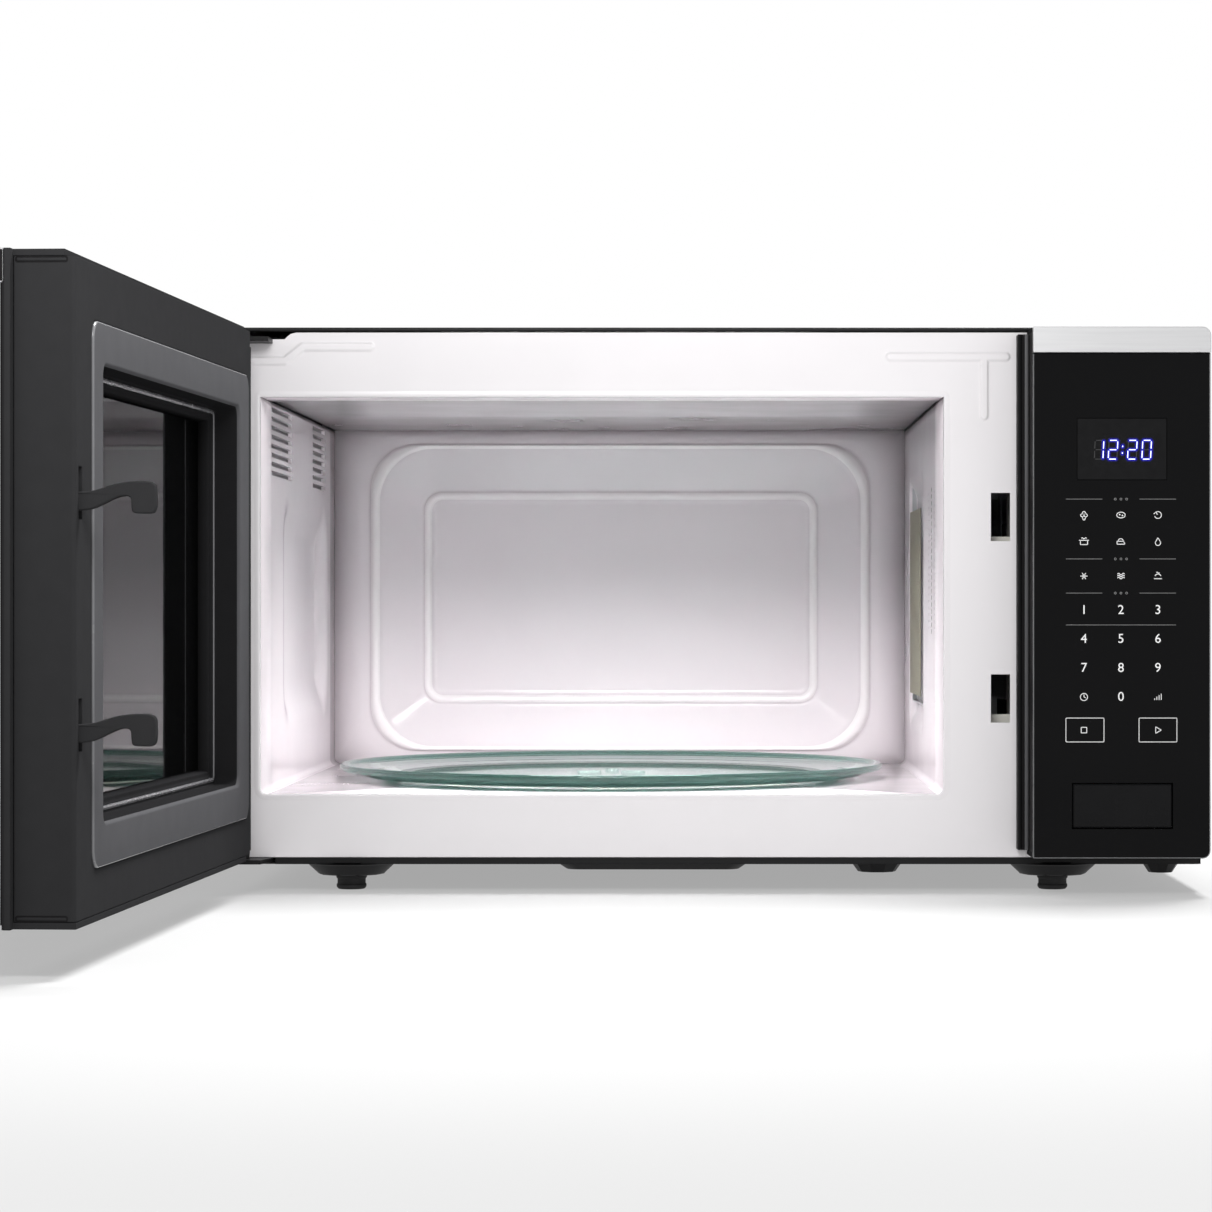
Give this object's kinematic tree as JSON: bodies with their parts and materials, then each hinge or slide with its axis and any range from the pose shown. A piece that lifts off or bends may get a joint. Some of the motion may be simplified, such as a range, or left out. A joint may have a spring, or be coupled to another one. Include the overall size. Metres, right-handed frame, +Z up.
{
  "type": "microwave oven",
  "caption": "Countertop microwave oven with an open side-hinged door, glass turntable and touch control panel.",
  "frame": {"origin": "on the standing surface, under the middle of the outer box with the door open as at rest", "axes": "+X to the user's right, +Y from the door towards the rear, +Z up"},
  "size_m": [0.5988, 0.884, 0.325],
  "materials": {
    "white_enamel": "smooth white enamel on steel sheet",
    "black_paint": "fine satin black paint on steel sheet",
    "zinc_steel": "bare galvanised steel",
    "steel_band": "fine brushed steel with bright edges",
    "aluminium_fins": "plain aluminium",
    "copper_wire": "varnished copper wire",
    "black_plastic": "dark grey moulded plastic, light grain",
    "grey_plastic": "mid grey moulded plastic, light grain",
    "white_plastic": "white moulded plastic",
    "gloss_black": "deep gloss black",
    "door_glass": "dark tinted glass",
    "window_glass": "clear smoked window",
    "tray_glass": "clear glass with a green tint",
    "display_glass": "smoked display window",
    "lamp_glass": "clear bulb glass",
    "mica": "pressed mica sheet",
    "rubber": "moulded rubber",
    "circuit_board": "green circuit board",
    "black_perforated": "perforated black steel screen"
  },
  "bodies": {
    "cabinet": {"outer_case": "black_paint", "rear_panel": "zinc_steel", "base_plate": "black_paint", "front_plate": "white_enamel", "cord_gland": "black_plastic", "upper_hinge_plate": "black_paint", "lower_hinge_plate": "black_paint", "foot_front_left": "rubber", "foot_front_right": "rubber", "foot_rear_left": "rubber", "foot_rear_right": "rubber", "case_screw_1": "zinc_steel", "case_screw_2": "zinc_steel", "cavity_shell": "white_enamel", "cavity_ceiling": "white_enamel", "cavity_back_wall": "white_enamel", "waveguide_cover": "mica", "cavity_lamp": "lamp_glass", "thermal_cutout": "zinc_steel", "turntable_motor": "zinc_steel", "waveguide": "zinc_steel", "magnetron_yoke": "zinc_steel", "magnetron_tube": "aluminium_fins", "magnetron_filter_box": "zinc_steel", "transformer_core": "black_paint", "transformer_windings": "copper_wire", "high_voltage_capacitor": "aluminium_fins", "line_filter_board": "circuit_board", "fan_shroud": "black_plastic", "fan_motor": "zinc_steel", "control_panel_housing": "black_plastic", "control_panel_face": "gloss_black", "control_panel_band": "steel_band", "display_window": "display_glass", "display_module": "black_plastic", "control_board": "circuit_board", "release_lever_pin": "black_plastic", "interlock_bracket": "white_plastic", "interlock_switch_upper": "white_plastic", "interlock_switch_middle": "white_plastic", "interlock_switch_lower": "white_plastic"},
    "door": {"door_outer_frame": "black_plastic", "door_front_glass": "door_glass", "door_band": "steel_band", "door_inner_panel": "black_plastic", "door_choke_cover": "grey_plastic", "door_steel_frame": "black_paint", "door_screen": "black_perforated", "door_inner_window": "window_glass", "door_hook_spring": "zinc_steel"},
    "latch": {"door_hook_bar": "black_plastic"},
    "button": {"door_release_button": "gloss_black"},
    "lever": {"release_lever": "white_plastic"},
    "coupler": {"turntable_coupler": "white_plastic"},
    "tray": {"glass_tray": "tray_glass"},
    "ring": {"roller_ring": "white_plastic"},
    "roller_one": {"roller_1": "white_plastic"},
    "roller_two": {"roller_2": "white_plastic"},
    "roller_three": {"roller_3": "white_plastic"},
    "fan": {"fan_blade": "white_plastic"}
  },
  "joints": [
    {"name": "door_hinge", "type": "hinge", "parent": "cabinet", "child": "door", "pos_m": [-0.24924, 0.0025, 0.17], "axis": [0, 0, 1], "range_deg": [-7, 93]},
    {"name": "hook_slide", "type": "slide", "parent": "door", "child": "latch", "axis": [0, 0, 1], "range_m": [0, 0.006], "stiffness_N_per_m": 300, "springref_m": -0.008, "deforming": ["door_hook_spring"]},
    {"name": "button_press", "type": "slide", "parent": "cabinet", "child": "button", "axis": [0, 1, 0], "range_m": [0, 0.004], "stiffness_N_per_m": 800, "springref_m": -0.004},
    {"name": "lever_tilt", "type": "hinge", "parent": "cabinet", "child": "lever", "pos_m": [0.2496, 0.0085, 0.08], "axis": [1, 0, 0], "range_deg": [0, 9]},
    {"name": "coupler_spin", "type": "hinge", "parent": "cabinet", "child": "coupler", "pos_m": [-0.04564, 0.2095, 0.045], "axis": [0, 0, 1], "continuous": true},
    {"name": "tray_lift", "type": "slide", "parent": "coupler", "child": "tray", "axis": [0, 0, 1], "range_m": [0, 0.04]},
    {"name": "ring_turn", "type": "hinge", "parent": "cabinet", "child": "ring", "pos_m": [-0.04564, 0.2095, 0.0493], "axis": [0, 0, 1], "continuous": true},
    {"name": "roller_one_spin", "type": "hinge", "parent": "ring", "child": "roller_one", "pos_m": [0.05655, 0.2685, 0.0493], "axis": [0.866, 0.5, 0], "continuous": true},
    {"name": "roller_two_spin", "type": "hinge", "parent": "ring", "child": "roller_two", "pos_m": [-0.14784, 0.2685, 0.0493], "axis": [-0.866, 0.5, 0], "continuous": true},
    {"name": "roller_three_spin", "type": "hinge", "parent": "ring", "child": "roller_three", "pos_m": [-0.04564, 0.0915, 0.0493], "axis": [0, -1, 0], "continuous": true},
    {"name": "fan_spin", "type": "hinge", "parent": "cabinet", "child": "fan", "pos_m": [0.22636, 0.4215, 0.155], "axis": [0, 1, 0], "continuous": true}
  ],
  "couplings": [
    {"joint": "lever_tilt", "follows": "button_press", "rad_per_m": 35.2},
    {"joint": "ring_turn", "follows": "coupler_spin", "ratio": 0.5}
  ]
}
